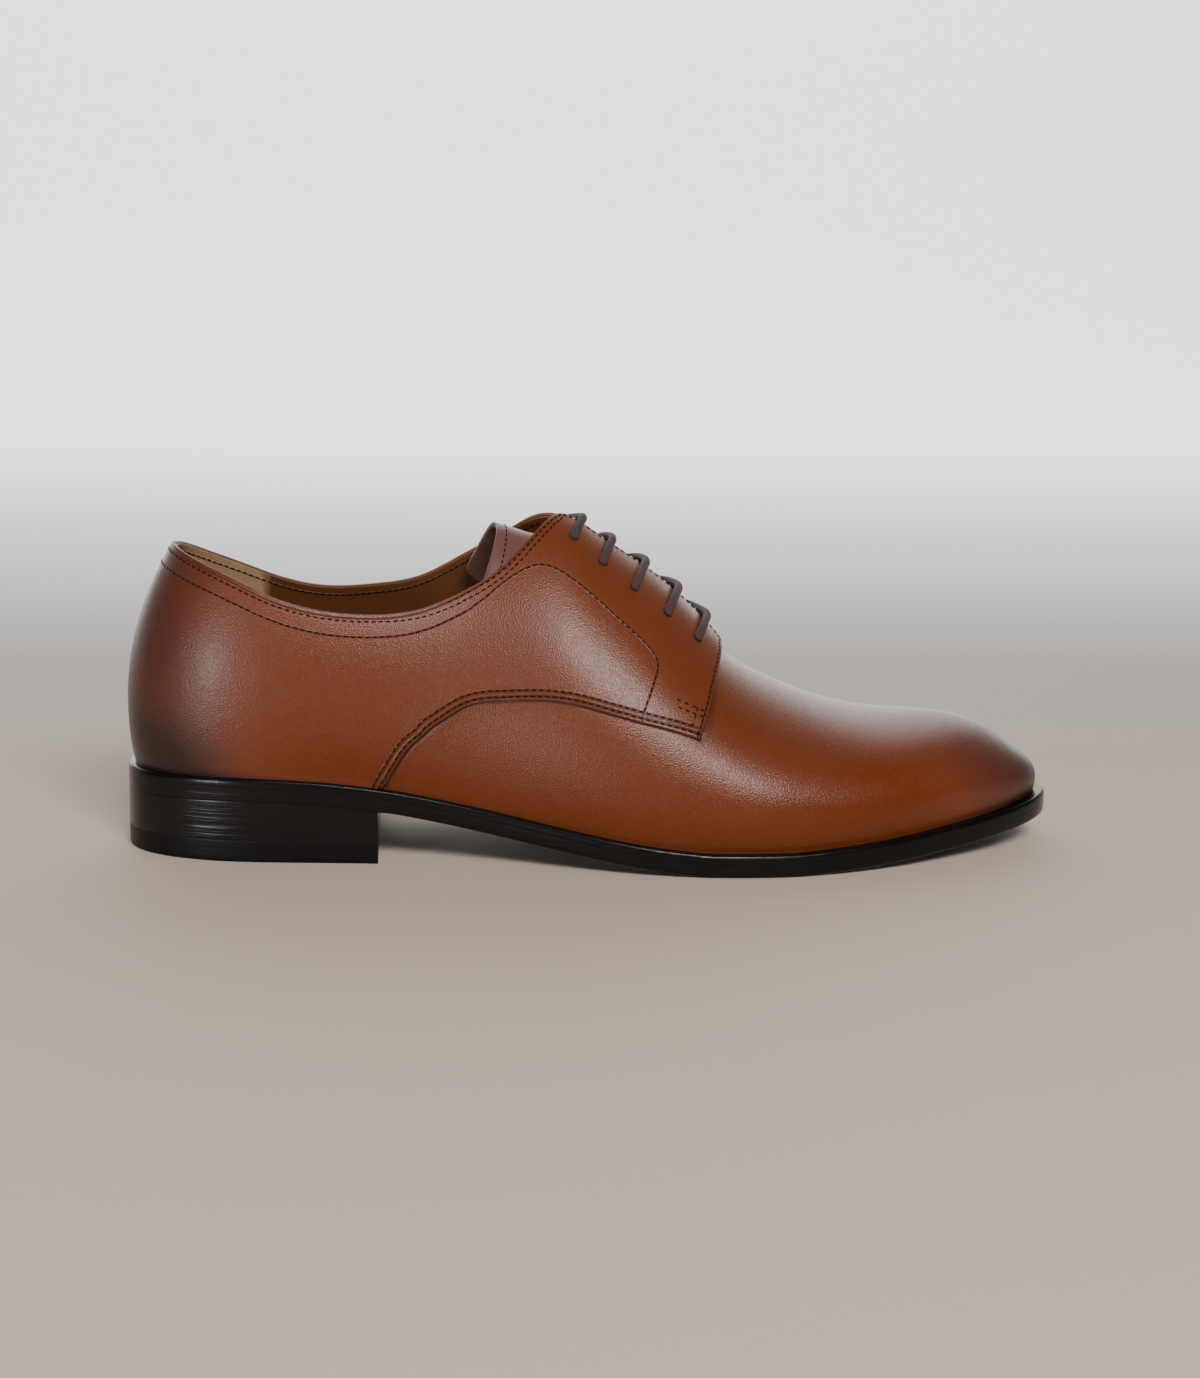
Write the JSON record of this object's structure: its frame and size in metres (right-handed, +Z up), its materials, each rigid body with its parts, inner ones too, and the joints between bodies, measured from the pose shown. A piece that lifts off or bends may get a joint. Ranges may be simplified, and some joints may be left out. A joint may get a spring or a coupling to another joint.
{
  "type": "derby shoe",
  "caption": "Plain-toe leather derby shoe for the right foot, with open lacing, a low stacked heel, a slim welted sole and round laces in straight bars.",
  "frame": {"origin": "on the floor, under the middle of the shoe's bounding box", "axes": "+X towards the toe, +Y towards the inner side of the right foot, +Z up"},
  "size_m": [0.305, 0.1071, 0.1082],
  "materials": {
    "sole_leather": "black, smooth, half gloss",
    "welt_leather": "black, smooth",
    "heel_leather": "black, polished edge",
    "lift_rubber": "black, matte",
    "lining_leather": "tan, smooth, matte",
    "calf": "burnished cognac calf, fine grain, soft gloss",
    "tongue_leather": "cognac calf, soft gloss",
    "lace_cotton": "round waxed cord, grey brown, matte"
  },
  "bodies": {
    "root": {"outsole": "sole_leather", "welt": "welt_leather", "heel_stack": "heel_leather", "top_lift": "lift_rubber", "insole": "lining_leather", "upper": "calf", "tongue": "tongue_leather", "lace_bar_1": "lace_cotton", "lace_bar_2": "lace_cotton", "lace_bar_3": "lace_cotton", "lace_bar_4": "lace_cotton", "lace_bar_5": "lace_cotton"}
  },
  "joints": []
}
